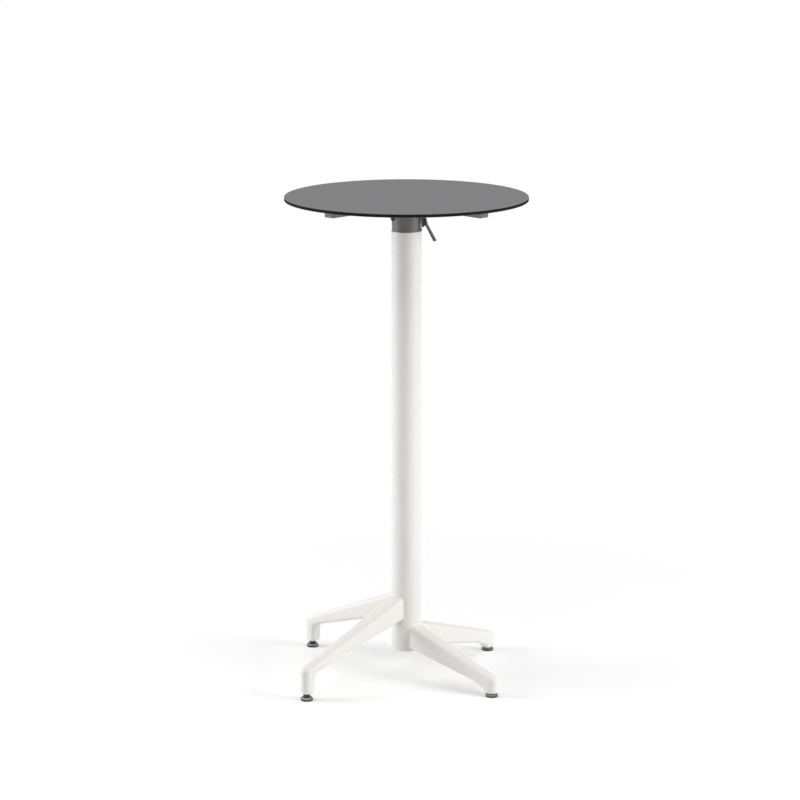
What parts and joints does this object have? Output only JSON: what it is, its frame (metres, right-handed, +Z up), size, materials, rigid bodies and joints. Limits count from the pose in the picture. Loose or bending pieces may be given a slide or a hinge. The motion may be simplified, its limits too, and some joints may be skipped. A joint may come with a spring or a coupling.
{
  "type": "folding bar table",
  "caption": "Bar table whose round top tips upright on a hinge for nesting: slim column, spring lever under the top, staggered cast legs with screw-in levelling feet.",
  "frame": {"origin": "on the floor, under the axis of the column", "axes": "+Z up; +X towards the release lever and the lower legs; -X towards the hinge of the top and the higher legs; -Y towards the viewer of the picture"},
  "size_m": [0.5599, 0.56, 1.14],
  "materials": {
    "laminate_top": "satin compact laminate with a black core edge",
    "brass_insert": "turned",
    "zinc_steel": "zinc plated",
    "bright_steel": "dull plated",
    "dark_steel": "black coated",
    "bracket_grey": "light grey coat, satin",
    "head_grey": "mid grey coat, satin",
    "lever_grey": "dark grey coat, satin",
    "bush_plastic": "moulded",
    "black_rubber": "matt",
    "white_tube": "fine textured powder coat",
    "white_casting": "fine textured powder coat",
    "white_plastic": "matt",
    "raw_iron": "as cast"
  },
  "bodies": {
    "base": {"column_tube": "white_tube", "column_head": "head_grey", "seat_buffers": "black_rubber", "tilt_pin": "dark_steel", "pin_clips": "zinc_steel", "hub_core": "raw_iron", "tie_rod": "zinc_steel", "tie_rod_washer": "zinc_steel", "tie_rod_nut": "zinc_steel", "bottom_cap": "white_plastic", "leg_bolts": "zinc_steel", "leg_front_left": "white_casting", "leg_rear_left": "white_casting", "leg_front_right": "white_casting", "leg_rear_right": "white_casting"},
    "tilt_top": {"table_top": "laminate_top", "top_inserts": "brass_insert", "top_screws": "zinc_steel", "tilt_bracket": "bracket_grey", "tilt_bushes": "bush_plastic", "stop_buffer": "black_rubber", "lever_cheeks": "lever_grey", "lever_pin": "zinc_steel", "lever_spring": "zinc_steel"},
    "lever": {"release_lever": "lever_grey"},
    "pad_front_left": {"foot_pad_front_left": "bright_steel", "foot_sole_front_left": "black_rubber"},
    "stem_front_left": {"foot_stem_front_left": "dark_steel"},
    "pad_rear_left": {"foot_pad_rear_left": "bright_steel", "foot_sole_rear_left": "black_rubber"},
    "stem_rear_left": {"foot_stem_rear_left": "dark_steel"},
    "pad_front_right": {"foot_pad_front_right": "bright_steel", "foot_sole_front_right": "black_rubber"},
    "stem_front_right": {"foot_stem_front_right": "dark_steel"},
    "pad_rear_right": {"foot_pad_rear_right": "bright_steel", "foot_sole_rear_right": "black_rubber"},
    "stem_rear_right": {"foot_stem_rear_right": "dark_steel"}
  },
  "joints": [
    {"name": "top_tilt", "type": "hinge", "parent": "base", "child": "tilt_top", "pos_m": [-0.03, 0, 1.0905], "axis": [0, -1, 0], "range_deg": [0, 90]},
    {"name": "lever_pull", "type": "hinge", "parent": "tilt_top", "child": "lever", "pos_m": [0.0405, 0, 1.105], "axis": [0, -1, 0], "range_deg": [0, 25], "stiffness_Nm_per_rad": 0.3, "springref_deg": -14.32},
    {"name": "pad_slide_front_left", "type": "slide", "parent": "base", "child": "pad_front_left", "axis": [0, 0, -1], "range_m": [-0.006, 0.008]},
    {"name": "stem_spin_front_left", "type": "hinge", "parent": "pad_front_left", "child": "stem_front_left", "pos_m": [-0.22889, -0.20609, 0.02], "axis": [0, 0, -1], "range_deg": [-1440, 1920]},
    {"name": "pad_slide_rear_left", "type": "slide", "parent": "base", "child": "pad_rear_left", "axis": [0, 0, -1], "range_m": [-0.006, 0.008]},
    {"name": "stem_spin_rear_left", "type": "hinge", "parent": "pad_rear_left", "child": "stem_rear_left", "pos_m": [-0.22889, 0.20609, 0.02], "axis": [0, 0, -1], "range_deg": [-1440, 1920]},
    {"name": "pad_slide_front_right", "type": "slide", "parent": "base", "child": "pad_front_right", "axis": [0, 0, -1], "range_m": [-0.0006, 0.009]},
    {"name": "stem_spin_front_right", "type": "hinge", "parent": "pad_front_right", "child": "stem_front_right", "pos_m": [0.19768, -0.17799, 0.02], "axis": [0, 0, -1], "range_deg": [-144, 2160]},
    {"name": "pad_slide_rear_right", "type": "slide", "parent": "base", "child": "pad_rear_right", "axis": [0, 0, -1], "range_m": [-0.0006, 0.009]},
    {"name": "stem_spin_rear_right", "type": "hinge", "parent": "pad_rear_right", "child": "stem_rear_right", "pos_m": [0.19768, 0.17799, 0.02], "axis": [0, 0, -1], "range_deg": [-144, 2160]}
  ],
  "couplings": [
    {"joint": "stem_spin_front_left", "follows": "pad_slide_front_left", "rad_per_m": 4188.8},
    {"joint": "stem_spin_rear_left", "follows": "pad_slide_rear_left", "rad_per_m": 4188.8},
    {"joint": "stem_spin_front_right", "follows": "pad_slide_front_right", "rad_per_m": 4188.8},
    {"joint": "stem_spin_rear_right", "follows": "pad_slide_rear_right", "rad_per_m": 4188.8}
  ]
}
